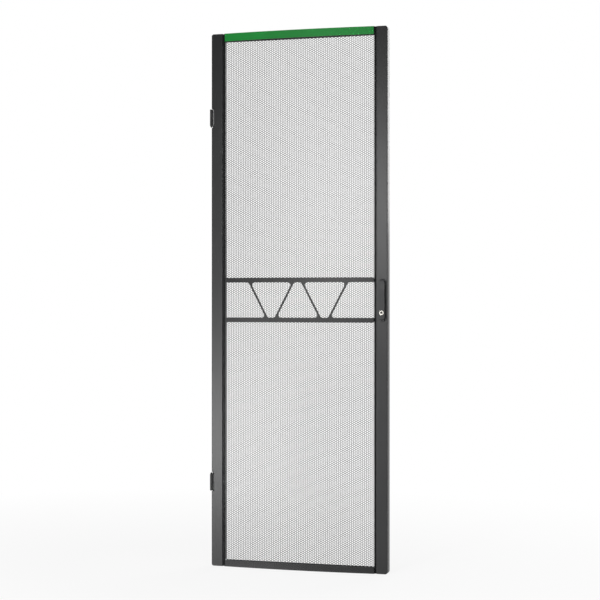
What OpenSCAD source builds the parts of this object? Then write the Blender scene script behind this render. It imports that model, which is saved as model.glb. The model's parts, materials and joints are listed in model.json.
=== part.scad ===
// Perforated front door for a tall, wide server rack.
// X runs to the right, Y to the back and Z up. The origin is on the hinge axis, at the
// middle of the lower hinge's bush.

/* [Door] */
// Width over both stiles
door_w = 740; // [700:5:780]
// Height of the door
door_h = 2183; // [1900:1:2400]
// Depth from the stiles' front faces to their back lips
door_d = 38; // [38:0.5:50]
// Thickness of the folded sheet
sheet = 1.5; // [1.2:0.1:2]
// Radius of the door's outer corners, seen from the front
corner_r = 10; // [6:1:16]
// Radius of the stiles' front folds
fold_r = 3; // [2:0.5:4]

/* [Stiles] */
// Width of the hinge stile's front face
hinge_stile_w = 48.5; // [44:0.5:60]
// Width of the latch stile's front face
latch_stile_w = 46; // [44:0.5:60]
// Width of the flange beside each face that carries the panel's edge
flange_w = 10; // [9:0.5:14]
// Depth of the flange's back face behind the stile's face
flange_set = 10; // [8:0.5:12]
// Depth of the stile's inner leg behind its face
leg_d = 24; // [20:0.5:30]
// Width of the back lip on the outer wall
lip_w = 14; // [10:1:16]

/* [Panel] */
// Thickness of the perforated sheet
panel_t = 1.2; // [1:0.1:2]
// How far the sheet bows forward between its long edges
bow = 12; // [6:0.5:20]
// How far the bow's ends stand in front of the stiles' faces
proud = 2; // [1:0.5:4]
// Width of the foot that lies on the stile's flange
foot_w = 2.5; // [2:0.5:4]
// Gap between the foot and the stile's step
foot_gap = 0.5; // [0.3:0.1:1]
// Distance between the centres of two holes in a column
hole_pitch = 61; // [55:1:80]
// Size of a hole across its flats
hole_flats = 49; // [40:1:53]
// Plain margin of the sheet along its top edge
top_margin = 34; // [32:1:60]
// Plain margin of the sheet along its bottom edge
bottom_margin = 17; // [12:1:40]

/* [Strip and rails] */
// Height of the strip along the top
strip_h = 31.5; // [20:0.5:32]
// Thickness of the strip
strip_t = 1.5; // [1:0.1:3]
// Height of the top rail
top_rail_h = 32; // [25:1:50]
// Height of the bottom rail
bottom_rail_h = 25; // [20:1:50]
// Length of a corner bracket's arms
bracket_l = 26; // [20:1:40]
// Width of a corner bracket
bracket_w = 12; // [10:1:16]

/* [Truss] */
// Height of each of the truss's two bars
truss_bar_h = 16; // [10:1:30]
// Distance between the bars' centre lines
truss_h = 159; // [120:1:200]
// Distance between the middles of two diagonals
truss_pitch = 112; // [100:1:130]
// Thickness of a diagonal
truss_web = 8; // [6:0.5:12]
// Radius of the openings' corners
truss_r = 12; // [6:1:16]
// Thickness of the truss's sheet
truss_t = 2; // [1.5:0.1:3]

/* [Hinges] */
// Distance from the door's end to the middle of its hinge
hinge_z = 345; // [200:5:500]
// Distance of the hinge axis outside the hinge stile
hinge_out = 2.8; // [2.8:0.1:4]
// Depth of the hinge axis behind the stile's face
hinge_set = 7; // [6:0.5:9]
// Diameter of a knuckle
knuckle_d = 12.5; // [12:0.5:14]
// Length of a knuckle
knuckle_h = 74; // [60:1:90]
// Length of the knuckle's tapered end
taper_h = 8; // [4:1:12]
// Width of the notch in the stile round a knuckle
notch_w = 11; // [10:0.5:14]
// Diameter of the bore that the rack's hinge pin enters
pin_bore_d = 5.3; // [4.5:0.1:5.4]
// Length of the bore
pin_bore_l = 30; // [20:1:40]
// Wall of the bush in the knuckle
bush_wall = 1.3; // [1:0.1:1.5]
// Thickness of the hinge's leaf
leaf_t = 3; // [2:0.5:4]

/* [Handle] */
// Width of the pill-shaped housing
housing_w = 36; // [34:1:40]
// Length of the housing
housing_l = 172; // [165:1:185]
// Distance of the housing's middle from the stile's outer edge
housing_x = 21.75; // [21.5:0.25:23]
// Depth of the housing's floor behind the stile's face
dish_d = 10; // [9:0.5:11]
// Wall of the housing
housing_wall = 1.6; // [1.2:0.1:2]
// Height of the housing's rim in front of the stile
rim_h = 2; // [1:0.5:3]
// Height of the spindle's axis above the door's middle
hub_z = 68; // [66:0.5:69]
// Width of the lever
lever_w = 24; // [22:0.5:25]
// Thickness of the lever
lever_t = 11; // [10:0.5:13]
// Gap between the lever and the housing's rim
lever_gap = 1; // [0.5:0.1:2]
// Wall of the hollow lever
lever_wall = 2.2; // [1.8:0.1:2.6]
// Distance of the lever's lower end below the door's middle
lever_end = 80; // [78:0.5:82]
// Diameter of the pin that the lever lifts on
lever_pin_d = 4; // [3:0.5:5]
// Distance of the lock cylinder below the door's middle
lock_z = 51; // [45:0.5:55]
// Diameter of the lock cylinder's front ring
lock_ring_d = 18; // [16:0.5:19]
// Diameter of the key plug
plug_d = 10; // [9:0.5:11]
// Distance of the driving pin from the key plug's axis, the bolt's travel
bolt_travel = 3.4; // [3:0.1:4]

/* [Rod drive] */
// Size of the gear teeth: pitch diameter over number of teeth
tooth_module = 1.5; // [1.5:0.05:1.6]
// Number of teeth on the pinion
pinion_teeth = 14; // [14:2:14]
// Backlash between pinion and rack
backlash = 0.3; // [0.2:0.05:0.4]
// Width of a rod
rod_w = 5; // [4:0.5:5]
// Depth of a rod, and face width of the pinion
rod_d = 8; // [6:0.5:9]
// Distance of the rods' tips from the door's ends
rod_end = 30; // [20:1:60]
// Number of guides on each rod
guide_count = 3; // [2:1:4]
// Running clearance round the rods
rod_gap = 0.3; // [0.2:0.05:0.4]

/* [Small parts] */
// Diameter of the frame's screws
screw_d = 4; // [3:0.5:5]
// Diameter of a rubber bumper
bumper_d = 11; // [8:1:12]
// Height of a rubber bumper
bumper_h = 4; // [3:0.5:8]
// Diameter of the earthing stud
stud_d = 6; // [5:0.5:8]

/* [Hidden] */
$fn = 48;
// Flat strips that stand for the bow
bow_steps = 12;
// Overshoot of a cut past the face it opens
over = 1;
// Clearances: between moving faces, round a turning shaft, and round a fixed screw
run = 0.3;
turn = 0.05;
slip = 0.2;

powder = [0.16, 0.16, 0.17];
plastic = [0.10, 0.10, 0.11];
steel = [0.62, 0.63, 0.65];
green = [0.09, 0.53, 0.18];
nickel = [0.85, 0.85, 0.86];
rubber = [0.05, 0.05, 0.05];
nylon = [0.75, 0.75, 0.72];

mid_z = door_h / 2;
// The bow's ends, its middle and the radius of its front
bow_x0 = hinge_stile_w + flange_w;
bow_x1 = door_w - latch_stile_w - flange_w;
bow_mid = (bow_x0 + bow_x1) / 2;
half_chord = (bow_x1 - bow_x0) / 2;
bow_r = (half_chord * half_chord + bow * bow) / (2 * bow);
flange_front = flange_set - sheet;

knuckle_r = knuckle_d / 2;
leaf_d = door_d - 12;
notch_d = hinge_set + knuckle_r + over;

// The handle, in heights in front of the stile's face
lever_low = rim_h + lever_gap;
lever_top = lever_low + lever_t;
lever_roof = lever_top - 3;
pin_f = lever_low + 2.5;
handle_x = door_w - housing_x;
hub_h = mid_z + hub_z;
lock_h = mid_z - lock_z;
dish_w = housing_w - 5.4;
cutout_w = dish_w + 2 * slip;
rim_w = (housing_w - dish_w) / 2;
dish_inner_w = dish_w - 2 * housing_wall;
floor_t = 2;
dish_back = dish_d + floor_t;
boss_back = dish_back + 4;
spindle_r = 7;
collar_r = 12;
tongue_w = 9;
tongue_r = 5;
square_w = 9;
bolt_w = 12;
bolt_low = lever_low + 0.6;
bolt_t = 2.6;
barrel_low = bolt_low + bolt_t + slip;

// The rod drive, in depths behind the stile's face
pitch_r = tooth_module * pinion_teeth / 2;
addendum = tooth_module * 0.83;
dedendum = tooth_module * 1.25;
case_front = boss_back;
case_wall = 2;
rod_y = case_front + case_wall + slip;
case_back = rod_y + rod_d + slip + 1.6;
cover_t = 2;
cover_back = case_back + cover_t;
rod_x0 = pitch_r + dedendum;
rod_x1 = rod_x0 + rod_w;
case_half = rod_x1 + rod_gap + 2;
case_low = 38;
case_high = 36;
case_screw_low = case_low - 5;
case_screw_high = case_high - 6;
rack_half = 16;

// Moves door coordinates (from the hinge stile's outer edge, the stiles' front faces and
// the door's lower end) to the hinge axis at the lower bush
module door() {
    translate([hinge_out, -hinge_set, -(hinge_z - knuckle_h / 2 + pin_bore_l / 2)]) children();
}

// A rectangle with rounded corners from [x0, z0] to [x1, z1], drawn in X and Y
module rounded_rect(x0, z0, x1, z1, r) {
    translate([x0 + r, z0]) square([x1 - x0 - 2 * r, z1 - z0]);
    translate([x0, z0 + r]) square([x1 - x0, z1 - z0 - 2 * r]);
    for (x = [x0 + r, x1 - r], z = [z0 + r, z1 - r]) translate([x, z]) circle(r);
}

// Raises a front view (X and Z) into the door between two depths
module from_front(d0, d1) {
    translate([0, d1, 0]) rotate([90, 0, 0]) linear_extrude(d1 - d0) children();
}

// A pill seen from the front, upright about [x, z]
module pill(x, z, w, l) {
    translate([x, z]) {
        square([w, l - w], center = true);
        for (s = [-1, 1]) translate([0, s * (l - w) / 2]) circle(w / 2);
    }
}

// A round bar along X, Y or Z that starts at a point
module bar_x(x, y, z, d, l) {
    translate([x, y, z]) rotate([0, 90, 0]) cylinder(d = d, h = l);
}
module bar_y(x, y, z, d, l) {
    translate([x, y, z]) rotate([-90, 0, 0]) cylinder(d = d, h = l);
}
module bar_z(x, y, z, d, l) {
    translate([x, y, z]) cylinder(d = d, h = l);
}

// Depth of the bow's front at x, by its great circle; less than 0 is in front of the stiles
function bow_depth(x) = bow_r - bow - proud - sqrt(bow_r * bow_r - (x - bow_mid) * (x - bow_mid));

// Points along the bow from left to right, set back by an inset, its ends moved out by more
function bow_line(inset, more = 0) = [
    for (k = [0 : bow_steps])
        let (x = bow_x0 + k * (bow_x1 - bow_x0) / bow_steps)
        [x + (k == 0 ? -more : k == bow_steps ? more : 0), bow_depth(x) + inset]
];
function reversed(p) = [for (k = [len(p) - 1 : -1 : 0]) p[k]];

// The region behind the bow, back to a given depth
module bow_region(inset, back, more = 0) {
    polygon(concat(bow_line(inset, more), [[bow_x1 + more, back], [bow_x0 - more, back]]));
}

// A sheet of thickness t that follows the bow
module bow_band(inset, t) {
    polygon(concat(bow_line(inset), reversed(bow_line(inset + t))));
}

// Plan of the perforated sheet: at each side a foot on the flange and a slope up to the bow
module panel_plan() {
    foot = [
        [hinge_stile_w + foot_gap, flange_front - panel_t],
        [hinge_stile_w + foot_gap + foot_w, flange_front - panel_t]
    ];
    back = [foot[0] + [0, panel_t], foot[1] + [panel_t / 2, panel_t]];
    polygon(concat(
        foot, bow_line(0), [for (p = reversed(foot)) [2 * bow_mid - p[0], p[1]]],
        [for (p = back) [2 * bow_mid - p[0], p[1]]], reversed(bow_line(panel_t)), reversed(back)
    ));
}

// Six-sided holes on a staggered pattern, between the margins and the bow's ends
module hole_pattern() {
    column_step = hole_pitch * sqrt(3) / 2;
    side = floor((half_chord - hole_flats * 0.6) / column_step);
    rows = floor((door_h - top_margin - bottom_margin - hole_pitch / 2) / hole_pitch);
    z0 = (door_h + bottom_margin - top_margin - (rows - 0.5) * hole_pitch) / 2;
    for (c = [-side : side], k = [0 : rows - 1])
        translate([bow_mid + c * column_step, z0 + (k + abs(c % 2) / 2) * hole_pitch])
            circle(r = hole_flats / sqrt(3), $fn = 6);
}

module perforated_panel() {
    color(powder) door() difference() {
        linear_extrude(door_h) panel_plan();
        from_front(-2 * (bow + proud), flange_front - panel_t) hole_pattern();
    }
}

// Plan of a stile of face width w, from its outer edge; inset by t it is the hollow inside
module stile_plan(w, t) {
    r = max(fold_r - t, 0.5);
    rounded_rect(t, t, w - t, flange_set + r, r);
    translate([t, flange_set - sheet + t]) square([w + flange_w - 2 * t, leg_d - flange_set + sheet - t]);
}

// A stile with its outer edge at x = 0: a hollow folded section with closed ends
module stile(w) {
    total = w + flange_w;
    difference() {
        intersection() {
            linear_extrude(door_h) {
                stile_plan(w, 0);
                translate([0, leg_d - over]) square([sheet, door_d - leg_d + over]);
                translate([0, door_d - sheet]) square([lip_w, sheet]);
                translate([0, leg_d - sheet]) square([sheet, sheet]);
            }
            from_front(-over, door_d + over) outer_outline(total, 0);
        }
        intersection() {
            translate([0, 0, sheet]) linear_extrude(door_h - 2 * sheet) {
                stile_plan(w, sheet);
                translate([sheet, leg_d - over]) square([total - 2 * sheet, 2 * over]);
            }
            from_front(-over, door_d + over) outer_outline(total, sheet);
        }
    }
    // End plates of the part behind the inner leg
    for (z = [0, door_h - sheet]) translate([corner_r, leg_d - over, z])
        cube([total - corner_r, over, sheet]);
}

// Front outline of a stile: its two outer corners are rounded
module outer_outline(total, t) {
    r = corner_r - t;
    rounded_rect(t, t, total, door_h - t, r);
    translate([total / 2, t]) square([total / 2 - t, door_h - 2 * t]);
}

module hinge_stile() {
    color(powder) door() difference() {
        stile(hinge_stile_w);
        for (z = [hinge_z, door_h - hinge_z])
            translate([-over, -over, z - knuckle_h / 2 - 2])
                cube([notch_w + over, notch_d + over, knuckle_h + 4]);
        for (z = leaf_screws()) bar_x(-over, leaf_screw_d(), z, screw_d, sheet + 2 * over);
        for (z = truss_zs()) bar_x(bow_x0 - sheet - over, truss_screw_y(), z, screw_d, sheet + 2 * over);
        for (z = bracket_zs()) bar_x(bow_x0 - sheet - over, bracket_y(), z, screw_d, sheet + 2 * over);
        for (z = bumper_zs()) bar_y(lip_w / 2, door_d - sheet - over, z, bumper_d / 2, sheet + 2 * over);
    }
}

module latch_stile() {
    color(powder) door() translate([door_w, 0, 0]) mirror([1, 0, 0]) difference() {
        stile(latch_stile_w);
        from_front(-over, sheet + over)
            pill(housing_x, mid_z, cutout_w, housing_l - housing_w + cutout_w);
        for (z = truss_zs())
            bar_x(latch_stile_w + flange_w - sheet - over, truss_screw_y(), z, screw_d, sheet + 2 * over);
        for (z = bracket_zs())
            bar_x(latch_stile_w + flange_w - sheet - over, bracket_y(), z, screw_d, sheet + 2 * over);
        for (z = bumper_zs()) bar_y(lip_w / 2, door_d - sheet - over, z, bumper_d / 2, sheet + 2 * over);
    }
}

// A channel behind the sheet: it follows the bow, and is open towards the door's middle
module rail(h) {
    difference() {
        linear_extrude(h) bow_region(panel_t, leg_d);
        translate([0, 0, sheet]) linear_extrude(h) bow_region(panel_t + sheet, leg_d - sheet, over);
        for (x = bracket_xs()) bar_z(x, bracket_y(), -over, screw_d, sheet + 2 * over);
    }
}

module top_rail() {
    color(powder) door() translate([0, 0, door_h]) mirror([0, 0, 1]) rail(top_rail_h);
}

module bottom_rail() {
    color(powder) door() difference() {
        rail(bottom_rail_h);
        bar_z(stud_x(), bracket_y(), -over, stud_d, sheet + 2 * over);
    }
}

module top_strip() {
    color(green) door() translate([0, 0, door_h - strip_h]) linear_extrude(strip_h)
        bow_band(-strip_t, strip_t);
}

// Points of a polygon whose corners are rounded to radius r, each by a short arc
function rounded_points(p, r, steps = 6) = [
    for (i = [0 : len(p) - 1])
        let (
            a = p[(i + len(p) - 1) % len(p)], b = p[i], c = p[(i + 1) % len(p)],
            u = (a - b) / norm(a - b), v = (c - b) / norm(c - b),
            half = acos(u * v) / 2,
            centre = b + (u + v) / norm(u + v) * r / sin(half),
            from = atan2((b + u * r / tan(half) - centre)[1], (b + u * r / tan(half) - centre)[0]),
            to = atan2((b + v * r / tan(half) - centre)[1], (b + v * r / tan(half) - centre)[0]),
            sweep = (to - from + 540) % 360 - 180
        )
        for (k = [0 : steps]) centre + r * [cos(from + sweep * k / steps), sin(from + sweep * k / steps)]
];

// The truss's two edges, the run of a diagonal across the opening, and its half width along X
function truss_gap() = truss_h - truss_bar_h;
function truss_run() = truss_gap() * 0.26;
function web_half() = truss_web / 2 * norm([truss_gap(), 2 * truss_run()]) / truss_gap();
// Middle of diagonal i, counted from -1.5 to 1.5
function web_x(i) = bow_mid + i * truss_pitch;

// The truss seen from the front: two bars and four diagonals left by five openings
module truss_front() {
    z0 = mid_z - truss_gap() / 2;
    z1 = mid_z + truss_gap() / 2;
    end = truss_bar_h;
    w = web_half();
    s = truss_run();
    difference() {
        translate([bow_x0, mid_z - truss_h / 2 - truss_bar_h / 2])
            square([bow_x1 - bow_x0, truss_h + truss_bar_h]);
        polygon(rounded_points([
            [bow_x0 + end, z0], [web_x(-1.5) + s - w, z0], [web_x(-1.5) - s - w, z1], [bow_x0 + end, z1]
        ], truss_r));
        polygon(rounded_points([
            [web_x(-1.5) - s + w, z1], [web_x(-1.5) + s + w, z0],
            [web_x(-0.5) - s - w, z0], [web_x(-0.5) + s - w, z1]
        ], min(truss_r, 4)));
        polygon(rounded_points([
            [web_x(-0.5) - s + w, z0], [web_x(0.5) + s - w, z0],
            [web_x(0.5) - s - w, z1], [web_x(-0.5) + s + w, z1]
        ], min(truss_r, 4)));
        polygon(rounded_points([
            [web_x(0.5) - s + w, z1], [web_x(0.5) + s + w, z0],
            [web_x(1.5) - s - w, z0], [web_x(1.5) + s - w, z1]
        ], min(truss_r, 4)));
        polygon(rounded_points([
            [web_x(1.5) - s + w, z0], [bow_x1 - end, z0], [bow_x1 - end, z1], [web_x(1.5) + s + w, z1]
        ], truss_r));
    }
}

function truss_zs() = [mid_z - truss_h / 2, mid_z + truss_h / 2];
function truss_screw_y() = (flange_set + leg_d) / 2;

module truss_brace() {
    color(powder) door() {
        intersection() {
            linear_extrude(door_h) bow_band(panel_t + slip, truss_t);
            from_front(-2 * (bow + proud), flange_set) truss_front();
        }
        for (x = [bow_x0, bow_x1 - truss_t], z = truss_zs()) difference() {
            translate([x, -proud + panel_t + slip + truss_t / 2, z - truss_bar_h / 2])
                cube([truss_t, leg_d - 2, truss_bar_h]);
            bar_x(x - over, truss_screw_y(), z, screw_d, truss_t + 2 * over);
        }
    }
}

// A pan-head screw along X: its head starts at x and faces the way given by side
module side_screw(x, y, z, grip, side) {
    bar_x(side > 0 ? x : x - 2.4, y, z, screw_d * 1.9, 2.4);
    bar_x(side > 0 ? x - grip : x, y, z, screw_d, grip);
}

module truss_screws() {
    color(steel) door() for (z = truss_zs()) {
        side_screw(bow_x0 + truss_t, truss_screw_y(), z, truss_t + sheet, 1);
        side_screw(bow_x1 - truss_t, truss_screw_y(), z, truss_t + sheet, -1);
    }
}

function bracket_y() = leg_d / 2 + 3;
function bracket_zs() = [sheet + bracket_l * 0.65, door_h - sheet - bracket_l * 0.65];
function bracket_xs() = [bow_x0 + bracket_l * 0.65, bow_x1 - bracket_l * 0.65];

// One corner bracket in the lower left corner of the rails
module bracket() {
    difference() {
        translate([bow_x0, bracket_y() - bracket_w / 2, sheet]) difference() {
            cube([bracket_l, bracket_w, bracket_l]);
            translate([2, -over, 2]) cube([bracket_l, bracket_w + 2 * over, bracket_l]);
        }
        bar_x(bow_x0 - over, bracket_y(), sheet + bracket_l * 0.65, screw_d, 2 + 2 * over);
        bar_z(bow_x0 + bracket_l * 0.65, bracket_y(), sheet - over, screw_d, 2 + 2 * over);
    }
}

// Repeats a piece of the lower left corner in all four corners
module four_corners() {
    children();
    translate([2 * bow_mid, 0, 0]) mirror([1, 0, 0]) children();
    translate([0, 0, door_h]) mirror([0, 0, 1]) children();
    translate([2 * bow_mid, 0, door_h]) mirror([1, 0, 0]) mirror([0, 0, 1]) children();
}

module corner_brackets() {
    color(steel) door() four_corners() bracket();
}

module bracket_screws() {
    color(steel) door() four_corners() {
        side_screw(bow_x0 + 2, bracket_y(), sheet + bracket_l * 0.65, 2 + sheet, 1);
        bar_z(bow_x0 + bracket_l * 0.65, bracket_y(), 0, screw_d, sheet + 2);
        bar_z(bow_x0 + bracket_l * 0.65, bracket_y(), sheet + 2, screw_d * 1.9, 2.4);
    }
}

function leaf_screw_d() = notch_d + (hinge_set + leaf_d - notch_d) * 0.45;
function leaf_screws() = [
    for (z = [hinge_z, door_h - hinge_z], s = [-1, 1]) z + s * knuckle_h * 0.3
];

// The lower hinge, about the middle of its knuckle: flat end down, tapered end up
module hinge() {
    color(powder) difference() {
        union() {
            translate([0, 0, -knuckle_h / 2]) cylinder(d = knuckle_d, h = knuckle_h - taper_h);
            translate([0, 0, knuckle_h / 2 - taper_h])
                cylinder(d1 = knuckle_d, d2 = knuckle_d * 0.4, h = taper_h);
            translate([sheet + hinge_out, 0, -knuckle_h / 2 + 1])
                cube([leaf_t, leaf_d, knuckle_h - taper_h - 2]);
        }
        translate([0, 0, -knuckle_h / 2 - over])
            cylinder(d = pin_bore_d + 2 * bush_wall, h = pin_bore_l + over);
        for (s = [-1, 1]) bar_x(0, leaf_screw_d() - hinge_set, s * knuckle_h * 0.3, screw_d, 20);
    }
}

// Puts a hinge's own frame at the lower or the upper knuckle
module at_lower() {
    translate([0, 0, knuckle_h / 2 - pin_bore_l / 2]) children();
}
module at_upper() {
    translate([0, 0, door_h - 2 * hinge_z + knuckle_h / 2 - pin_bore_l / 2]) mirror([0, 0, 1])
        children();
}

module lower_hinge() {
    at_lower() hinge();
}

module upper_hinge() {
    at_upper() hinge();
}

module bush() {
    translate([0, 0, -knuckle_h / 2]) difference() {
        cylinder(d = pin_bore_d + 2 * bush_wall, h = pin_bore_l);
        translate([0, 0, -over]) cylinder(d = pin_bore_d, h = pin_bore_l + 2 * over);
    }
}

module hinge_bushes() {
    color(nylon) {
        at_lower() bush();
        at_upper() bush();
    }
}

module hinge_screws() {
    color(steel) door() for (z = leaf_screws())
        side_screw(sheet + leaf_t, leaf_screw_d(), z, leaf_t + sheet - slip, 1);
}

// The dish that the lever lies over, with a keeper for the lock bolt at its lower end
module handle_housing() {
    keeper_z = mid_z - lever_end - 1;
    color(plastic) door() difference() {
        union() {
            from_front(-rim_h, 0) pill(handle_x, mid_z, housing_w, housing_l);
            from_front(-over, dish_back) pill(handle_x, mid_z, dish_w, housing_l - 2 * rim_w);
            bar_y(handle_x, dish_d, hub_h, 2 * spindle_r + 8, boss_back - dish_d);
            bar_y(handle_x, dish_d, hub_h - case_screw_low, screw_d + 5, boss_back - dish_d);
            bar_y(handle_x, dish_d, mid_z - 66, screw_d + 5, dish_back - dish_d);
            from_front(-(bolt_low + bolt_t + 2.4), -over)
                translate([handle_x - bolt_w / 2 - 3, mid_z - housing_l / 2 + 1])
                    square([bolt_w + 6, keeper_z - mid_z + housing_l / 2 - 1]);
        }
        from_front(-rim_h - over, dish_d)
            intersection() {
                pill(handle_x, mid_z, dish_inner_w, housing_l - 2 * rim_w - 2 * housing_wall);
                translate([handle_x - housing_w / 2, keeper_z]) square([housing_w, housing_l]);
            }
        from_front(-(bolt_low + bolt_t + 0.4), -(bolt_low - 0.4))
            translate([handle_x - bolt_w / 2 - 0.4, keeper_z - bolt_travel - 0.6])
                square([bolt_w + 0.8, bolt_travel + 0.6 + over]);
        bar_y(handle_x, dish_d - over, hub_h, 2 * (spindle_r + turn), boss_back);
        bar_y(handle_x, dish_d + 0.6, hub_h - case_screw_low, screw_d, boss_back);
        bar_y(handle_x, dish_d + 0.6, mid_z - 66, screw_d, boss_back);
    }
}

// Side view of the lever, in heights in front of the stile and heights above the door's middle
module lever_side() {
    head = hub_z + lever_w / 2;
    polygon([
        [-lever_low, -lever_end], [-lever_top + 2, -lever_end], [-lever_top, -lever_end + 5],
        [-lever_top, hub_z - 24], [-lever_top + 1.2, hub_z - 8], [-lever_top + 1.2, head - 4],
        [-lever_top + 4, head], [-lever_low, head]
    ]);
}

module handle_lever() {
    l = lever_end + hub_z + lever_w / 2;
    color(plastic) door() difference() {
        union() {
            difference() {
                intersection() {
                    from_front(-lever_top, -lever_low)
                        pill(handle_x, mid_z - lever_end + l / 2, lever_w, l);
                    translate([handle_x - lever_w / 2, 0, mid_z]) rotate([90, 0, 90])
                        linear_extrude(lever_w) lever_side();
                }
                from_front(-lever_roof, 0) intersection() {
                    pill(handle_x, mid_z - lever_end + l / 2, lever_w - 2 * lever_wall, l - 2 * lever_wall);
                    translate([handle_x - lever_w / 2, mid_z - lever_end])
                        square([lever_w, l - lever_w / 2 - 16]);
                }
            }
            from_front(-lever_roof - 1, -barrel_low) intersection() {
                translate([handle_x, lock_h]) circle(d = lock_ring_d + 4);
                translate([handle_x - lever_w / 2 + 1, lock_h - lever_w])
                    square([lever_w - 2, 2 * lever_w]);
            }
        }
        translate([handle_x - tongue_w / 2 - run, -(pin_f + tongue_r + run), hub_h - 12])
            cube([tongue_w + 2 * run, lever_t, lever_w + over]);
        bar_x(handle_x - lever_w, -pin_f, hub_h, lever_pin_d, 2 * lever_w);
        bar_y(handle_x, -lever_top - over, lock_h, plug_d + 5, lever_t + 2 * over);
        from_front(-(bolt_low + bolt_t + slip), -(bolt_low - slip))
            translate([handle_x - bolt_w / 2 - slip, mid_z - lever_end - over])
                square([bolt_w + 2 * slip, lever_w]);
    }
}

module lever_pin() {
    color(steel) door()
        bar_x(handle_x - lever_w / 2 + 2.5, -pin_f, hub_h, lever_pin_d, lever_w - 5);
}

// The lock cylinder: a ring on the lever's face and a barrel through its roof
module lock_cylinder() {
    color(nickel) door() difference() {
        union() {
            bar_y(handle_x, -lever_top - 1.2, lock_h, lock_ring_d, 1.2);
            bar_y(handle_x, -lever_top - 0.2, lock_h, plug_d + 5, lever_top - barrel_low + 0.2);
        }
        bar_y(handle_x, -lever_top - 2, lock_h, plug_d + 2 * turn, lever_t + 4);
    }
}

// The key plug, with its keyway in front and its driving pin behind
module key_plug() {
    color(nickel) door() {
        difference() {
            bar_y(handle_x, -lever_top - 1, lock_h, plug_d, lever_top + 1 - barrel_low);
            from_front(-lever_top - 2, -lever_top + 4) translate([handle_x, lock_h]) {
                square([1.8, 7], center = true);
                translate([0, 1.8]) circle(d = 3.2);
            }
        }
        bar_y(handle_x + bolt_travel, -barrel_low - over, lock_h, 2.4, bolt_t + over);
    }
}

// A flat bolt inside the lever; the key plug's pin drives it through a cross slot
module lock_bolt() {
    lost = 0.22 * bolt_travel + 0.15;
    color(steel) door() difference() {
        from_front(-(bolt_low + bolt_t), -bolt_low) {
            translate([handle_x - bolt_w / 2, mid_z - lever_end + 0.4])
                square([bolt_w, lock_h + 7 - mid_z + lever_end - 0.4]);
        }
        from_front(-(bolt_low + bolt_t + over), -bolt_low + over)
            translate([handle_x - 1.6, lock_h - 1.2 - lost])
                square([bolt_travel + 3.2, 2.4 + 2 * lost]);
    }
}

// The spindle: a tongue for the lever, a collar on the dish's floor, a shaft, a square for
// the pinion and a threaded end
module spindle() {
    color(steel) door() {
        difference() {
            union() {
                translate([handle_x - tongue_w / 2, -pin_f, hub_h - tongue_r])
                    cube([tongue_w, pin_f + dish_d - 5, 2 * tongue_r]);
                bar_x(handle_x - tongue_w / 2, -pin_f, hub_h, 2 * tongue_r, tongue_w);
            }
            bar_x(handle_x - tongue_w, -pin_f, hub_h, lever_pin_d + 2 * turn, 2 * tongue_w);
        }
        bar_y(handle_x, dish_d - 6, hub_h, 2 * collar_r, 6 - slip);
        bar_y(handle_x, dish_d - over, hub_h, 2 * spindle_r, case_front - dish_d + over);
        translate([handle_x - square_w / 2, case_front - over, hub_h - square_w / 2])
            cube([square_w, case_back - case_front + over - 0.4, square_w]);
        bar_y(handle_x, case_back - over, hub_h, square_w, cover_t + over + 0.3);
        bar_y(handle_x, cover_back, hub_h, 5, 6);
    }
}

// Half the angle of a pinion tooth at radius r, by the involute
function involute(a) = tan(a) * 180 / PI - a;
function tooth_half(r) = let (base = pitch_r * cos(20))
    90 / pinion_teeth - backlash / 4 / pitch_r * 180 / PI + involute(20)
    - involute(r > base ? acos(base / r) : 0);

module drive_pinion() {
    steps = 4;
    root = pitch_r - dedendum;
    tip = pitch_r + addendum;
    flank = [for (k = [0 : steps]) root + (tip - root) * k / steps];
    pts = [
        for (t = [0 : pinion_teeth - 1]) each [
            for (r = flank) r * [cos(t * 360 / pinion_teeth - tooth_half(r)),
                                 sin(t * 360 / pinion_teeth - tooth_half(r))],
            for (k = [0 : steps]) let (r = flank[steps - k])
                r * [cos(t * 360 / pinion_teeth + tooth_half(r)),
                     sin(t * 360 / pinion_teeth + tooth_half(r))]
        ]
    ];
    color(steel) door() from_front(rod_y, rod_y + rod_d) translate([handle_x, hub_h]) difference() {
        polygon(pts);
        square(square_w + 2 * turn, center = true);
    }
}

// A toothed rod seen from the front, teeth to the left, from low to high; z = 0 is the hub
module rod_front(low, high) {
    pitch = PI * tooth_module;
    half = pitch / 4 - backlash / 4;
    lean = tan(20);
    translate([rod_x0, low]) square([rod_w, high - low]);
    for (k = [-3 : 2]) translate([pitch_r, (k + 0.5) * pitch]) polygon([
        [-addendum, -half + addendum * lean], [dedendum + 0.1, -half - dedendum * lean],
        [dedendum + 0.1, half + dedendum * lean], [-addendum, half - addendum * lean]
    ]);
}

// A rod's tapered tip, cut from its end
module tip_cut(z, way) {
    translate([handle_x, 0, z]) for (s = [-1, 1]) translate([0, rod_y + rod_d / 2 + s * rod_d / 2, 0])
        rotate([s * way * 12, 0, 0]) translate([-40, s > 0 ? 0 : -20, way > 0 ? -8 : -12])
            cube([80, 20, 20]);
}

module upper_rod() {
    color(steel) door() difference() {
        from_front(rod_y, rod_y + rod_d) translate([handle_x, hub_h]) mirror([1, 0])
            rod_front(-rack_half, door_h - rod_end - hub_h);
        tip_cut(door_h - rod_end, 1);
    }
}

module lower_rod() {
    color(steel) door() difference() {
        from_front(rod_y, rod_y + rod_d) translate([handle_x, hub_h])
            rod_front(rod_end - hub_h, rack_half);
        tip_cut(rod_end, -1);
    }
}

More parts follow.
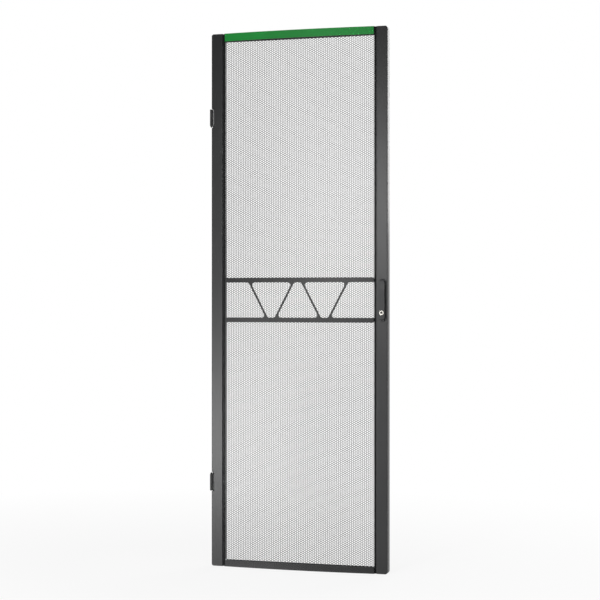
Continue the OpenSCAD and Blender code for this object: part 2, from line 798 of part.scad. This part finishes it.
// The case round the pinion and the rods' toothed ends, with a foot on the stile
module gear_case() {
    channel = rod_x1 + rod_gap;
    color(plastic) door() difference() {
        union() {
            translate([handle_x - case_half, case_front, hub_h - case_low])
                cube([2 * case_half, case_back - case_front, case_low + case_high]);
            translate([handle_x - 8, sheet, hub_h + case_high - 14])
                cube([16, case_front - sheet + over, 14]);
        }
        bar_y(handle_x, case_front + case_wall, hub_h, 2 * (pitch_r + addendum + run), case_back);
        for (s = [-1, 1])
            translate([handle_x + s * (channel + pitch_r - addendum - run) / 2 -
                       (channel - pitch_r + addendum + run) / 2,
                       case_front + case_wall, hub_h - case_low - over])
                cube([channel - pitch_r + addendum + run, case_back, case_low + case_high + 2 * over]);
        bar_y(handle_x, case_front - over, hub_h, 2 * spindle_r + 2 * run, case_wall + 2 * over);
        for (z = [-case_screw_low, case_screw_high])
            bar_y(handle_x, sheet + 4, hub_h + z, screw_d + slip, case_back);
    }
}

module case_cover() {
    color(steel) door() difference() {
        translate([handle_x - case_half, case_back, hub_h - case_low])
            cube([2 * case_half, cover_t, case_low + case_high]);
        bar_y(handle_x, case_back - over, hub_h, square_w + 2 * turn, cover_t + 2 * over);
        for (z = [-case_screw_low, case_screw_high])
            bar_y(handle_x, case_back - over, hub_h + z, screw_d + slip, cover_t + 2 * over);
    }
}

module case_screws() {
    color(steel) door() for (z = [-case_screw_low, case_screw_high]) {
        start = z < 0 ? dish_d + 1.6 : sheet + 5;
        bar_y(handle_x, start, hub_h + z, screw_d, cover_back - start + over);
        bar_y(handle_x, cover_back, hub_h + z, screw_d * 1.9, 2.4);
    }
}

module spindle_washer() {
    color(steel) door() difference() {
        bar_y(handle_x, cover_back + 0.3, hub_h, 15, 1.2);
        bar_y(handle_x, cover_back - over, hub_h, 5, 4);
    }
}

module spindle_nut() {
    color(steel) door() difference() {
        from_front(cover_back + 1.5, cover_back + 5.5) translate([handle_x, hub_h])
            circle(d = 10, $fn = 6);
        bar_y(handle_x, cover_back, hub_h, 5, 8);
    }
}

// A bridge over the dish's lower end that clamps the housing to the stile
module clamp_bridge() {
    half = dish_w / 2 + slip;
    color(steel) door() difference() {
        translate([handle_x - half - 2.4, sheet, mid_z - 76])
            cube([2 * half + 4.8, dish_back - sheet + 2, 20]);
        translate([handle_x - half, 0, mid_z - 76 - over])
            cube([2 * half, dish_back, 20 + 2 * over]);
        bar_y(handle_x, 0, mid_z - 66, screw_d + slip, door_d);
    }
}

module clamp_screw() {
    color(steel) door() {
        bar_y(handle_x, dish_d + 1, mid_z - 66, screw_d, floor_t + 2);
        bar_y(handle_x, dish_back + 2, mid_z - 66, screw_d * 1.9, 2.4);
    }
}

// Heights of the guides on the upper and the lower rod
function guide_zs(low, high) = [
    for (k = [1 : guide_count]) low + (high - low) * (k - 0.4) / guide_count
];
function upper_guides() = guide_zs(hub_h + case_high, door_h - rod_end - 30);
function lower_guides() = guide_zs(rod_end + 30 - (hub_h - case_low - rod_end) * 0.2 / guide_count,
                                   mid_z - housing_l / 2 - 10);
guide_h = 18;

// A moulded guide on the stile's inner face, about a rod on the given side of the handle
module guide(side, z) {
    x = handle_x + side * (rod_x0 + rod_x1) / 2;
    half = rod_w / 2 + rod_gap;
    difference() {
        union() {
            translate([x - half - 1.6, sheet, z - guide_h / 2])
                cube([2 * half + 3.2, rod_y + rod_d + rod_gap + 2 - sheet, guide_h]);
            translate([side > 0 ? x - half - 11 : x - half, sheet, z - guide_h / 2])
                cube([2 * half + 11, 3, guide_h]);
        }
        translate([x - half, rod_y - rod_gap, z - guide_h])
            cube([2 * half, rod_d + 2 * rod_gap, 2 * guide_h]);
        bar_y(x - side * (half + 6), sheet - over, z, screw_d, 6);
    }
}

module rod_guides() {
    color(nylon) door() {
        for (z = upper_guides()) guide(-1, z);
        for (z = lower_guides()) guide(1, z);
    }
}

module guide_screw(side, z) {
    x = handle_x + side * ((rod_x0 + rod_x1) / 2 - rod_w / 2 - rod_gap - 6);
    bar_y(x, sheet, z, screw_d, 4);
    bar_y(x, sheet + 3, z, screw_d * 1.9, 2.4);
}

module guide_screws() {
    color(steel) door() {
        for (z = upper_guides()) guide_screw(-1, z);
        for (z = lower_guides()) guide_screw(1, z);
    }
}

function bumper_zs() = [120, door_h - 120];

module bumpers() {
    color(rubber) door() for (x = [lip_w / 2, door_w - lip_w / 2], z = bumper_zs()) {
        bar_y(x, door_d - sheet, z, bumper_d / 2, sheet + over);
        bar_y(x, door_d, z, bumper_d, bumper_h);
        bar_y(x, door_d - sheet - 1.5, z, bumper_d * 0.7, 1.5);
    }
}

function stud_x() = bow_x0 + 3 * bracket_l;

module ground_stud() {
    color(steel) door() bar_z(stud_x(), bracket_y(), 0, stud_d, sheet + 14);
}

module ground_nut() {
    color(steel) door() difference() {
        translate([stud_x(), bracket_y(), sheet]) cylinder(d = stud_d * 1.8, h = 5, $fn = 6);
        bar_z(stud_x(), bracket_y(), 0, stud_d, 20);
    }
}

perforated_panel();
hinge_stile();
latch_stile();
top_rail();
bottom_rail();
top_strip();
truss_brace();
truss_screws();
corner_brackets();
bracket_screws();
upper_hinge();
lower_hinge();
hinge_bushes();
hinge_screws();
handle_housing();
handle_lever();
lever_pin();
lock_cylinder();
key_plug();
lock_bolt();
spindle();
drive_pinion();
spindle_washer();
spindle_nut();
gear_case();
case_cover();
case_screws();
clamp_bridge();
clamp_screw();
upper_rod();
lower_rod();
rod_guides();
guide_screws();
bumpers();
ground_stud();
ground_nut();
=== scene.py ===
import json
import math

import bmesh
import bpy
from mathutils import Matrix, Vector


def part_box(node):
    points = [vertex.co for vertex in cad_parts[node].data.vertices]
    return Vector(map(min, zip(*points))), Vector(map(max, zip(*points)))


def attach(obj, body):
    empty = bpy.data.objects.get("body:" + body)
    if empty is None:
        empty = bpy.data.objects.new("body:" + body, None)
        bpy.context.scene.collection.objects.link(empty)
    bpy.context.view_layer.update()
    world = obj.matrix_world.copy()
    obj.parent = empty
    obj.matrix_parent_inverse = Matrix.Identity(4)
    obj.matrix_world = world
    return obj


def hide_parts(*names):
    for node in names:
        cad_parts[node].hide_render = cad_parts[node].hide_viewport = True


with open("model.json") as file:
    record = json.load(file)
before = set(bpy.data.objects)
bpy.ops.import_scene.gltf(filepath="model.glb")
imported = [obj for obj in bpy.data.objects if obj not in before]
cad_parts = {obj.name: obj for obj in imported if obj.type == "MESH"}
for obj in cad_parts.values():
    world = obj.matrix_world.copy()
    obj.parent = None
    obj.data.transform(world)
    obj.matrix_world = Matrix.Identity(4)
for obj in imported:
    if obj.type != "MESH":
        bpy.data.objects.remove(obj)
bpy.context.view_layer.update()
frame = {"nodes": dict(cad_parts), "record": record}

MM = 0.001
nodes = frame["nodes"]

# ---------------------------------------------------------------- where the door stands
stile_low, stile_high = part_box("hinge_stile")
sheet_low, sheet_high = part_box("perforated_panel")
left_edge = stile_low.x
face_y = stile_low.y
door_low, door_high = stile_low.z, stile_high.z
mid_z = (door_low + door_high) / 2


# ---------------------------------------------------------------- small helpers
def linear(hex_colour):
    """An sRGB hex colour as linear RGBA."""
    parts = [int(hex_colour[i:i + 2], 16) / 255 for i in (1, 3, 5)]
    return [c / 12.92 if c <= 0.04045 else ((c + 0.055) / 1.055) ** 2.4 for c in parts] + [1.0]


def add(tree, kind, values=None, links=None, **settings):
    """One node with its settings, its values and its links."""
    node = tree.nodes.new(kind)
    for key, value in settings.items():
        setattr(node, key, value)
    for key, value in (values or {}).items():
        node.inputs[key].default_value = value
    for key, link in (links or {}).items():
        tree.links.new(link, node.inputs[key])
    return node


def new_material(name):
    """An empty material, its tree, its shader and the object coordinates."""
    mat = bpy.data.materials.new(name)
    mat.use_nodes = True
    tree = mat.node_tree
    tree.nodes.clear()
    shader = add(tree, "ShaderNodeBsdfPrincipled")
    add(tree, "ShaderNodeOutputMaterial", links={"Surface": shader.outputs["BSDF"]})
    return mat, tree, shader, add(tree, "ShaderNodeTexCoord").outputs["Object"]


# The values of a pattern over which colour and roughness change, from one end to the other
COLOUR_SPREAD = (0.35, 0.65)
SHEEN_SPREAD = (0.3, 0.7)


def surface(tree, shader, colour, roughness, bump=None, spread=COLOUR_SPREAD):
    """The shader's colour, from a pattern between two hex colours, its roughness, from one
    between two levels, and its bump, from one at a strength and a depth in millimetres."""
    pattern, dark, light = colour
    part = add(tree, "ShaderNodeMapRange", {"From Min": spread[0], "From Max": spread[1]},
               {"Value": pattern}).outputs[0]
    mixed = add(tree, "ShaderNodeMix", {6: linear(dark), 7: linear(light)}, {0: part},
                data_type="RGBA").outputs[2]
    tree.links.new(mixed, shader.inputs["Base Color"])
    pattern, low, high = roughness
    sheen = add(tree, "ShaderNodeMapRange",
                {"From Min": SHEEN_SPREAD[0], "From Max": SHEEN_SPREAD[1],
                 "To Min": low, "To Max": high},
                {"Value": pattern}).outputs[0]
    tree.links.new(sheen, shader.inputs["Roughness"])
    if bump:
        height, strength, depth = bump
        normal = add(tree, "ShaderNodeBump", {"Strength": strength, "Distance": depth * MM},
                     {"Height": height}).outputs[0]
        tree.links.new(normal, shader.inputs["Normal"])


def finished(bm, name, body, mat):
    """A bmesh as an object in the door's frame that rides on a body."""
    mesh = bpy.data.meshes.new(name)
    bm.to_mesh(mesh)
    bm.free()
    obj = bpy.data.objects.new(name, mesh)
    bpy.context.scene.collection.objects.link(obj)
    mesh.materials.append(mat)
    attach(obj, body)
    return obj


# ---------------------------------------------------------------- finishes
def powder_coated_steel():
    """Black polyester powder baked on steel: a fine orange peel and a soft, even sheen."""
    mat, tree, shader, place = new_material("powder_coated_steel")
    # grains of 1.25 mm, coarser than the real 0.3 mm, so that they show
    grain = add(tree, "ShaderNodeTexNoise", {"Scale": 1 / (1.25 * MM), "Detail": 2.0},
                {"Vector": place})
    cloud = add(tree, "ShaderNodeTexNoise", {"Scale": 1 / (166.667 * MM), "Detail": 3.0},
                {"Vector": place})
    surface(tree, shader, colour=(cloud.outputs[0], "#161718", "#1D1E1F"),
            roughness=(grain.outputs[0], 0.34, 0.42),
            bump=(grain.outputs[0], 0.25, 0.05))
    return mat


def green_powder_coat():
    """Green powder coat on the strip: the same fine peel, a little glossier."""
    mat, tree, shader, place = new_material("green_powder_coat")
    grain = add(tree, "ShaderNodeTexNoise", {"Scale": 1 / (1.25 * MM), "Detail": 2.0},
                {"Vector": place})
    cloud = add(tree, "ShaderNodeTexNoise", {"Scale": 1 / (200 * MM), "Detail": 2.0},
                {"Vector": place})
    surface(tree, shader, colour=(cloud.outputs[0], "#00802B", "#048730"),
            roughness=(grain.outputs[0], 0.36, 0.46),
            bump=(grain.outputs[0], 0.2, 0.05))
    return mat


def moulded_black_nylon():
    """Glass-filled black nylon, moulded in a spark-eroded tool: matt, with an even texture."""
    mat, tree, shader, place = new_material("moulded_black_nylon")
    grain = add(tree, "ShaderNodeTexVoronoi", {"Scale": 1 / (1.1111 * MM)}, {"Vector": place})
    cloud = add(tree, "ShaderNodeTexNoise", {"Scale": 1 / (33.333 * MM), "Detail": 2.0},
                {"Vector": place})
    surface(tree, shader, colour=(cloud.outputs[0], "#1B1C1D", "#232425"),
            roughness=(cloud.outputs[0], 0.42, 0.52),
            bump=(grain.outputs["Distance"], 0.3, 0.06))
    return mat


def zinc_plated_steel():
    """Bright zinc on steel: pale bluish grey with a faint spangle and a cloudy gloss."""
    mat, tree, shader, place = new_material("zinc_plated_steel")
    spangle = add(tree, "ShaderNodeTexVoronoi", {"Scale": 1 / (3.8462 * MM)}, {"Vector": place})
    cloud = add(tree, "ShaderNodeTexNoise", {"Scale": 1 / (25 * MM), "Detail": 4.0},
                {"Vector": place})
    surface(tree, shader, colour=(spangle.outputs["Distance"], "#B4B8BC", "#C8CBCF"),
            spread=(0.1, 0.7),
            roughness=(cloud.outputs[0], 0.28, 0.42))
    shader.inputs["Metallic"].default_value = 1.0
    return mat


def nickel_plated_brass():
    """Nickel plate over turned brass: a warm white metal, softly bright."""
    mat, tree, shader, place = new_material("nickel_plated_brass")
    cloud = add(tree, "ShaderNodeTexNoise", {"Scale": 1 / (3.3333 * MM), "Detail": 2.0},
                {"Vector": place})
    surface(tree, shader, colour=(cloud.outputs[0], "#C9C6BE", "#D6D3CC"),
            roughness=(cloud.outputs[0], 0.18, 0.28))
    shader.inputs["Metallic"].default_value = 1.0
    return mat


def black_oxide_and_painted_shade(name, dark, light):
    """Near-black metal, half dull, a little cloudy: salt-bath black oxide on the spindle, painted
    shade on the recessed key plug.
    """
    mat, tree, shader, place = new_material(name)
    cloud = add(tree, "ShaderNodeTexNoise", {"Scale": 1 / (2.5 * MM), "Detail": 2.0},
                {"Vector": place})
    surface(tree, shader, colour=(cloud.outputs[0], dark, light),
            roughness=(cloud.outputs[0], 0.35, 0.5))
    shader.inputs["Metallic"].default_value = 1.0
    return mat


def natural_nylon():
    """Natural nylon, moulded: milky off-white with a soft surface."""
    mat, tree, shader, place = new_material("natural_nylon")
    cloud = add(tree, "ShaderNodeTexNoise", {"Scale": 1 / (8.3333 * MM), "Detail": 2.0},
                {"Vector": place})
    surface(tree, shader, colour=(cloud.outputs[0], "#D9D6CB", "#E3E0D6"),
            roughness=(cloud.outputs[0], 0.4, 0.5))
    return mat


def moulded_rubber():
    """Moulded black rubber: dull, with a dusty bloom."""
    mat, tree, shader, place = new_material("moulded_rubber")
    cloud = add(tree, "ShaderNodeTexNoise", {"Scale": 1 / (2.5 * MM), "Detail": 3.0},
                {"Vector": place})
    surface(tree, shader, colour=(cloud.outputs[0], "#1A1A1A", "#262625"), spread=(0.3, 0.7),
            roughness=(cloud.outputs[0], 0.7, 0.82),
            bump=(cloud.outputs[0], 0.2, 0.08))
    return mat


coat = powder_coated_steel()
FINISH = {"powder_coat": coat, "green_strip": green_powder_coat(),
          "black_plastic": moulded_black_nylon(), "zinc_steel": zinc_plated_steel(),
          "nickel": nickel_plated_brass(), "nylon": natural_nylon(), "rubber": moulded_rubber()}

SLOT_OF = {part["node"]: part["material_slot"] for part in frame["record"]["subparts"]}
for name, obj in nodes.items():
    obj.data.materials.clear()
    obj.data.materials.append(FINISH[SLOT_OF[name]])
# The key plug sits recessed in shade: its dark grey is painted shade in place of its nickel plate
nodes["key_plug"].data.materials[0] = black_oxide_and_painted_shade("painted_shade_brass", "#4A4846", "#5A5855")
nodes["spindle"].data.materials[0] = black_oxide_and_painted_shade("black_oxide_steel", "#3A3B3D", "#46474A")


# ---------------------------------------------------------------- the perforated sheet
# One sheet of 1.2 mm steel with six-sided holes, bowed forward between its two folded edges
SHEET = 1.2 * MM
PITCH = 8.73 * MM
HOLE_FLATS = 7.1 * MM
COLUMN = PITCH * math.sqrt(3) / 2
BOW = 12 * MM
SLOPE_RUN = 7 * MM
FOOT = 2.5 * MM
PLAIN_EDGE = 3 * MM
PLAIN_END = PITCH * 0.9
WELD = 0.01 * MM
ON_PLANE = 1e-7
BANDS = 5

crest_y = sheet_low.y
foot_y = sheet_high.y - SHEET
sheet_mid = (sheet_low.x + sheet_high.x) / 2
chord = (sheet_high.x - sheet_low.x) / 2 - FOOT - SLOPE_RUN
radius = (chord ** 2 + BOW ** 2) / (2 * BOW)
arc = radius * math.asin(chord / radius)
slope = math.hypot(SLOPE_RUN, foot_y - crest_y - BOW)
half_sheet = arc + slope + FOOT
rows_in_band = math.ceil((sheet_high.z - sheet_low.z) / PITCH / BANDS)
columns_a_side = math.ceil(half_sheet / COLUMN)


def copied(bm, geom, step):
    """A copy of a patch of mesh, moved by a step."""
    copy = bmesh.ops.duplicate(bm, geom=geom)["geom"]
    bmesh.ops.translate(bm, vec=step, verts=[v for v in copy if isinstance(v, bmesh.types.BMVert)])


def repeated(bm, geom, step, count):
    """Copies of a patch of mesh, each one step further."""
    for k in range(1, count):
        copied(bm, geom, step * k)


def everything(bm):
    return bm.verts[:] + bm.edges[:] + bm.faces[:]


def cut(bm, place, normal, trim):
    """Cuts the mesh along a plane, and drops what lies beyond it where trim is true."""
    bmesh.ops.bisect_plane(bm, geom=everything(bm), dist=ON_PLANE, plane_co=place, plane_no=normal,
                           clear_outer=trim)


def onto_bow(s):
    """Where a length along the sheet, from its middle, comes to lie: X and Y."""
    side, length = math.copysign(1, s), abs(s)
    if length <= arc:
        turn = length / radius
        return sheet_mid + side * radius * math.sin(turn), crest_y + radius * (1 - math.cos(turn))
    if length <= arc + slope:
        part = (length - arc) / slope
        return (sheet_mid + side * (chord + SLOPE_RUN * part),
                crest_y + BOW + (foot_y - crest_y - BOW) * part)
    return sheet_mid + side * (chord + SLOPE_RUN + length - arc - slope), foot_y


def sheet_band(number):
    """One band of the sheet, from cells in a honeycomb that are punched, trimmed and bent."""
    bm = bmesh.new()
    bmesh.ops.create_circle(bm, cap_ends=True, segments=6, radius=PITCH / math.sqrt(3),
                            matrix=Matrix.Rotation(math.radians(90), 4, "X")
                            @ Matrix.Rotation(math.radians(90), 4, "Z"))
    repeated(bm, everything(bm), Vector((0, 0, PITCH)), rows_in_band)
    repeated(bm, everything(bm), Vector((2 * COLUMN, 0, 0)), columns_a_side + 1)
    copied(bm, everything(bm), Vector((COLUMN, 0, PITCH / 2)))
    start = sheet_low.z + rows_in_band * number * PITCH
    left = -COLUMN * 2 * (columns_a_side // 2 + 1)
    bmesh.ops.translate(bm, vec=(left, 0, start), verts=bm.verts)
    bmesh.ops.remove_doubles(bm, verts=bm.verts, dist=WELD)
    reach = half_sheet - PLAIN_EDGE - HOLE_FLATS / math.sqrt(3)
    punched = []
    for face in bm.faces:
        centre = face.calc_center_median()
        inside = sheet_low.z + PLAIN_END < centre.z < sheet_high.z - PLAIN_END
        if abs(centre.x) < reach and inside:
            punched.append(face)
    bmesh.ops.inset_individual(bm, faces=punched, thickness=(PITCH - HOLE_FLATS) / 2,
                               use_even_offset=True)
    bmesh.ops.delete(bm, geom=punched, context="FACES")
    for side in (-1, 1):
        cut(bm, (side * half_sheet, 0, 0), (side, 0, 0), True)
        cut(bm, (side * arc, 0, 0), (side, 0, 0), False)
        cut(bm, (side * (arc + slope), 0, 0), (side, 0, 0), False)
    cut(bm, (0, 0, sheet_low.z), (0, 0, -1), True)
    cut(bm, (0, 0, sheet_high.z), (0, 0, 1), True)
    for v in bm.verts:
        v.co.x, v.co.y = onto_bow(v.co.x)
    band = finished(bm, f"perforated_sheet_{number + 1}", "door", coat)
    wall = band.modifiers.new("sheet", "SOLIDIFY")
    wall.thickness = SHEET
    wall.offset = -1
    return band


bands = [sheet_band(k) for k in range(BANDS)]
for band in bands:
    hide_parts("perforated_panel")

# ---------------------------------------------------------------- the truss behind the sheet
# Two bars and four diagonals of 2 mm plate, with every opening's corners rounded
BAR = 19 * MM
GAP = 143 * MM
LEAN = GAP * 0.26
WEB = 4.5 * MM
WEB_STEP = 112 * MM
DIAGONALS = 4
OPENING_R = 12 * MM
CORNER_STEPS = 6
OPENING_PAST = 5 * MM
PLATE_PAST = 10 * MM
STRIPS = 24
PLATE = 2 * MM
TAB_DEPTH = 22 * MM
TAB_HEIGHT = BAR - 3 * MM
TAB_EDGE = 0.4 * MM

truss_low, truss_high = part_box("truss_brace")
truss_z = (truss_low.z + truss_high.z) / 2


def diagonal_x(number, up):
    """Middle of a diagonal at its lower (-1) or upper (1) end; they lean by turns."""
    lean = -up if number % 2 == 0 else up
    return sheet_mid + (number - (DIAGONALS - 1) / 2) * WEB_STEP + lean * LEAN


def opening(bm, number):
    """One opening between two diagonals, or past the last one, and its corners to round."""
    corners = []
    for up, ends in ((-1, (0, 1)), (1, (1, 0))):
        for right in ends:
            if number + right == 0:
                x = truss_low.x - OPENING_PAST
            elif number + right > DIAGONALS:
                x = truss_high.x + OPENING_PAST
            else:
                x = diagonal_x(number - 1 + right, up) + (-WEB if right else WEB)
            corners.append(bm.verts.new((x, 0, truss_z + up * GAP / 2)))
    bm.faces.new(corners)
    rounding = []
    for k, v in enumerate(corners):
        if abs(v.co.x - sheet_mid) > (truss_high.x - truss_low.x) / 2:
            continue
        along = Vector((1 if k in (0, 3) else -1, 0, 0))
        other = corners[3 - k].co - v.co
        half = along.angle(other) / 2
        rounding.append((v, OPENING_R / math.tan(half)))
    return rounding


bm = bmesh.new()
edge_z = GAP / 2 + BAR
outline = [bm.verts.new((x, 0, truss_z + z)) for x, z in (
    (truss_low.x - PLATE_PAST, -edge_z), (truss_high.x + PLATE_PAST, -edge_z),
    (truss_high.x + PLATE_PAST, edge_z), (truss_low.x - PLATE_PAST, edge_z))]
bm.faces.new(outline)
rounding = [corner for number in range(DIAGONALS + 1) for corner in opening(bm, number)]
for v, offset in rounding:
    bmesh.ops.bevel(bm, geom=[v], offset=offset, offset_type="OFFSET", affect="VERTICES",
                    segments=CORNER_STEPS, profile=0.5, material=-1)
bmesh.ops.delete(bm, geom=bm.faces[:], context="FACES_ONLY")
bmesh.ops.triangle_fill(bm, edges=bm.edges[:], use_beauty=True, normal=(0, -1, 0))
for side, end in ((-1, truss_low.x), (1, truss_high.x)):
    cut(bm, (end, 0, 0), (side, 0, 0), True)
for k in range(1, STRIPS):
    cut(bm, (truss_low.x + k * (truss_high.x - truss_low.x) / STRIPS, 0, 0), (1, 0, 0), False)
for v in bm.verts:
    v.co.y = truss_low.y + radius - math.sqrt(radius ** 2 - (v.co.x - sheet_mid) ** 2)
bmesh.ops.recalc_face_normals(bm, faces=bm.faces)
if sum(f.normal.y * f.calc_area() for f in bm.faces) > 0:
    bmesh.ops.reverse_faces(bm, faces=bm.faces)
truss = finished(bm, "truss_plate", "door", coat)
wall = truss.modifiers.new("plate", "SOLIDIFY")
wall.thickness = PLATE
wall.offset = -1

bm = bmesh.new()
for x in (truss_low.x + PLATE / 2, truss_high.x - PLATE / 2):
    for up in (-1, 1):
        size = Vector((PLATE, TAB_DEPTH, TAB_HEIGHT, 1))
        y = truss_low.y + BOW + PLATE / 2 + TAB_DEPTH / 2
        bmesh.ops.create_cube(bm, size=1, matrix=Matrix.Translation(
            (x, y, truss_z + up * (GAP + TAB_HEIGHT) / 2)) @ Matrix.Diagonal(size))
bmesh.ops.bevel(bm, geom=bm.edges[:], offset=TAB_EDGE, offset_type="OFFSET", affect="EDGES",
                segments=2, profile=0.5, material=-1)
tabs = finished(bm, "truss_tabs", "door", coat)
for piece in (truss, tabs):
    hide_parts("truss_brace")

# ---------------------------------------------------------------- camera, floor and light
# A 90 mm lens 6.06 m away, 15.9 degrees round to the right, at the height of the door's middle
AIM_ACROSS = 0.378
CAMERA_AWAY = 6.063

aim = Vector((left_edge + AIM_ACROSS, face_y, mid_z))
swing = math.radians(15.9)
camera = bpy.data.objects.new("camera", bpy.data.cameras.new("camera"))
camera.data.lens = 90
camera.data.sensor_width = 36
camera.location = aim + CAMERA_AWAY * Vector((math.sin(swing), -math.cos(swing), 0))
camera.rotation_euler = (math.pi / 2, 0, swing)
bpy.context.scene.collection.objects.link(camera)
bpy.context.scene.camera = camera
bpy.context.scene.view_settings.view_transform = "Standard"


def seen_directly(tree):
    """1 for what the camera sees, in a reflection and through glass too."""
    path = add(tree, "ShaderNodeLightPath")
    both = add(tree, "ShaderNodeMath", links={0: path.outputs["Is Camera Ray"],
               1: path.outputs["Is Glossy Ray"]}, operation="MAXIMUM")
    return add(tree, "ShaderNodeMath", links={0: both.outputs[0],
               1: path.outputs["Is Transmission Ray"]}, operation="MAXIMUM").outputs[0]


# White paper hangs behind the door, and the side that its front faces is a dim room: its
# level in a reflection rises to white as the direction turns back along Y
ROOM_LIGHT = 0.25
DIM_ROOM = 0.05
TURN = 0.3
world = bpy.data.worlds.new("studio")
bpy.context.scene.world = world
world.use_nodes = True
tree = world.node_tree
tree.nodes.clear()
room = add(tree, "ShaderNodeBackground", {"Color": linear("#FFFFFF"), "Strength": ROOM_LIGHT})
path = add(tree, "ShaderNodeLightPath")
way = add(tree, "ShaderNodeSeparateXYZ",
          links={0: add(tree, "ShaderNodeTexCoord").outputs["Generated"]})
behind = add(tree, "ShaderNodeMapRange",
             {"From Min": -TURN, "From Max": TURN, "To Min": DIM_ROOM, "To Max": 1.0},
             {"Value": way.outputs["Y"]})
level = add(tree, "ShaderNodeMath", links={0: path.outputs["Is Camera Ray"],
            1: behind.outputs[0]}, operation="MAXIMUM")
white = add(tree, "ShaderNodeBackground", {"Color": linear("#FFFFFF")},
            {"Strength": level.outputs[0]})
both = add(tree, "ShaderNodeMixShader", links={0: seen_directly(tree), 1: room.outputs[0],
           2: white.outputs[0]})
add(tree, "ShaderNodeOutputWorld", links={0: both.outputs[0]})

# White studio paper: the shadow shows near the door, and further off it is plain white
SHADE_NEAR, SHADE_FAR = 0.7, 2.6
GLOW_NEAR = 0.86
FLOOR_HALF = 40
FLOOR_GAP = 0.5 * MM
paper = bpy.data.materials.new("white_studio_paper")
paper.use_nodes = True
tree = paper.node_tree
tree.nodes.clear()
lit = add(tree, "ShaderNodeBsdfDiffuse", {"Color": linear("#F4F4F4")})
glow = add(tree, "ShaderNodeEmission", {"Color": linear("#FFFFFF"), "Strength": 1.0})
away = add(tree, "ShaderNodeVectorMath", operation="LENGTH",
           links={0: add(tree, "ShaderNodeTexCoord").outputs["Object"]}).outputs["Value"]
fade = add(tree, "ShaderNodeMapRange", {"From Min": SHADE_NEAR, "From Max": SHADE_FAR,
           "To Min": GLOW_NEAR, "To Max": 1.0}, {"Value": away})
share = add(tree, "ShaderNodeMath", links={0: seen_directly(tree), 1: fade.outputs[0]},
            operation="MULTIPLY")
both = add(tree, "ShaderNodeMixShader", links={0: share.outputs[0], 1: lit.outputs[0],
           2: glow.outputs[0]})
add(tree, "ShaderNodeOutputMaterial", links={"Surface": both.outputs[0]})
bm = bmesh.new()
bmesh.ops.create_grid(bm, x_segments=1, y_segments=1, size=FLOOR_HALF,
                      matrix=Matrix.Translation((aim.x, aim.y, door_low - FLOOR_GAP)))
floor_mesh = bpy.data.meshes.new("floor")
bm.to_mesh(floor_mesh)
bm.free()
floor_mesh.materials.append(paper)
floor = bpy.data.objects.new("floor", floor_mesh)
bpy.context.scene.collection.objects.link(floor)

# Each lamp's place and what it looks at, from the camera's aim, then width, height and watts
SOFTBOXES = {
    "left_box": ((-1.30, -2.6, -0.85), (-0.35, 0, -0.45), 0.4, 0.6, 29),
    "right_box": ((-0.30, -2.6, 0.55), (0.34, 0, 0.30), 0.3, 0.6, 19),
    "top_box": ((0.3, -1.2, 3.2), (0, 0, 0), 2.4, 2.4, 25),
    "rear_box": ((0.8, 3.4, 1.6), (0, 0, 0), 2.4, 2.4, 60),
}
for name, (place, look, width, height, watts) in SOFTBOXES.items():
    lamp = bpy.data.lights.new(name, "AREA")
    lamp.shape = "RECTANGLE"
    lamp.size, lamp.size_y, lamp.energy = width, height, watts
    obj = bpy.data.objects.new(name, lamp)
    obj.location = aim + Vector(place)
    obj.rotation_euler = (Vector(look) - Vector(place)).to_track_quat("-Z", "Y").to_euler()
    obj.visible_camera = False
    bpy.context.scene.collection.objects.link(obj)
